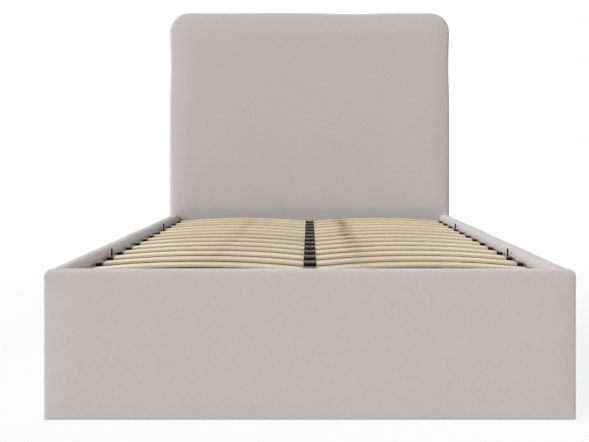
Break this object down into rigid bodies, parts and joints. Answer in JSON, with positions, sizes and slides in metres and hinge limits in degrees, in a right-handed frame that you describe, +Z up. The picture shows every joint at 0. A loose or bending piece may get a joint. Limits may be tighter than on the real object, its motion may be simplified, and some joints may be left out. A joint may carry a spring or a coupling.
{
  "type": "ottoman storage bed",
  "caption": "Upholstered ottoman bed with a tall headboard, a bowed-slat base lifted by side arms and gas struts, and a storage well under it.",
  "frame": {"origin": "centre of the footprint on the floor, under the glides", "axes": "+X to the right seen from the foot, +Y from the foot to the headboard, +Z up"},
  "size_m": [1.3, 2.044, 1.305],
  "materials": {
    "upholstery": "plain woven, matt",
    "panel_board": "raw particle board",
    "softwood": "planed",
    "lining": "non-woven, matt",
    "hardboard": "smooth face",
    "beech_ply": "satin lacquer",
    "black_plastic": "moulded, matt",
    "buffer_rubber": "matt",
    "rod_chrome": "polished",
    "zinc_steel": "zinc plated",
    "black_steel": "satin powder coat"
  },
  "bodies": {
    "base": {"headboard_padding": "upholstery", "headboard_board": "panel_board", "headboard_battens": "softwood", "headboard_back_lining": "lining", "footboard_padding": "upholstery", "footboard_board": "panel_board", "right_rail_padding": "upholstery", "left_rail_padding": "upholstery", "right_rail_board": "panel_board", "left_rail_board": "panel_board", "floor_ledges": "softwood", "centre_floor_bearer": "softwood", "floor_panel_foot": "hardboard", "floor_panel_middle": "hardboard", "floor_panel_head": "hardboard", "floor_glides": "black_plastic", "corner_brackets": "zinc_steel", "base_bolts": "zinc_steel", "foot_rest_batten": "softwood", "frame_rest_brackets": "zinc_steel", "frame_rest_buffers": "buffer_rubber", "right_hinge_plate": "black_steel", "left_hinge_plate": "black_steel", "lower_pivot_pins": "zinc_steel"},
    "front_arms": {"right_front_arm": "black_steel", "left_front_arm": "black_steel", "strut_lug_studs": "zinc_steel"},
    "slat_frame": {"slat_row_01": "beech_ply", "slat_row_02": "beech_ply", "slat_row_03": "beech_ply", "slat_row_04": "beech_ply", "slat_row_05": "beech_ply", "slat_row_06": "beech_ply", "slat_row_07": "beech_ply", "slat_row_08": "beech_ply", "slat_row_09": "beech_ply", "slat_row_10": "beech_ply", "slat_row_11": "beech_ply", "slat_row_12": "beech_ply", "slat_row_13": "beech_ply", "side_slat_caps": "black_plastic", "centre_slat_caps": "black_plastic", "mattress_retainers": "black_steel", "right_side_tube": "black_steel", "left_side_tube": "black_steel", "foot_tube": "black_steel", "head_tube": "black_steel", "centre_tube": "black_steel", "tube_end_caps": "black_plastic", "right_upper_bar": "black_steel", "left_upper_bar": "black_steel", "upper_bar_screws": "zinc_steel", "upper_pivot_pins": "zinc_steel"},
    "rear_arms": {"right_rear_arm": "black_steel", "left_rear_arm": "black_steel"},
    "strut_cylinders": {"right_strut_cylinder": "black_steel", "left_strut_cylinder": "black_steel"},
    "strut_rods": {"right_strut_rod": "rod_chrome", "left_strut_rod": "rod_chrome"}
  },
  "joints": [
    {"name": "arm_lift", "type": "hinge", "parent": "base", "child": "front_arms", "pos_m": [0, -0.048, 0.125], "axis": [1, 0, 0], "range_deg": [0, 28.5]},
    {"name": "frame_tilt", "type": "hinge", "parent": "front_arms", "child": "slat_frame", "pos_m": [0, 0.363, 0.281], "axis": [-1, 0, 0], "range_deg": [0, 58.04]},
    {"name": "rear_arm_swing", "type": "hinge", "parent": "base", "child": "rear_arms", "pos_m": [0, 0.147, 0.153], "axis": [1, 0, 0], "range_deg": [0, 35.56]},
    {"name": "strut_swing", "type": "hinge", "parent": "base", "child": "strut_cylinders", "pos_m": [0, 0.196, 0.084], "axis": [1, 0, 0], "range_deg": [0, 10.63]},
    {"name": "rod_slide", "type": "slide", "parent": "strut_cylinders", "child": "strut_rods", "axis": [0, -0.4692, 0.8831], "range_m": [0, 0.09045]}
  ],
  "couplings": [
    {"joint": "frame_tilt", "follows": "arm_lift", "ratio": 2.0347},
    {"joint": "rear_arm_swing", "follows": "arm_lift", "ratio": 1.2461},
    {"joint": "strut_swing", "follows": "arm_lift", "ratio": 0.3712},
    {"joint": "rod_slide", "follows": "arm_lift", "m_per_rad": 0.18164}
  ]
}
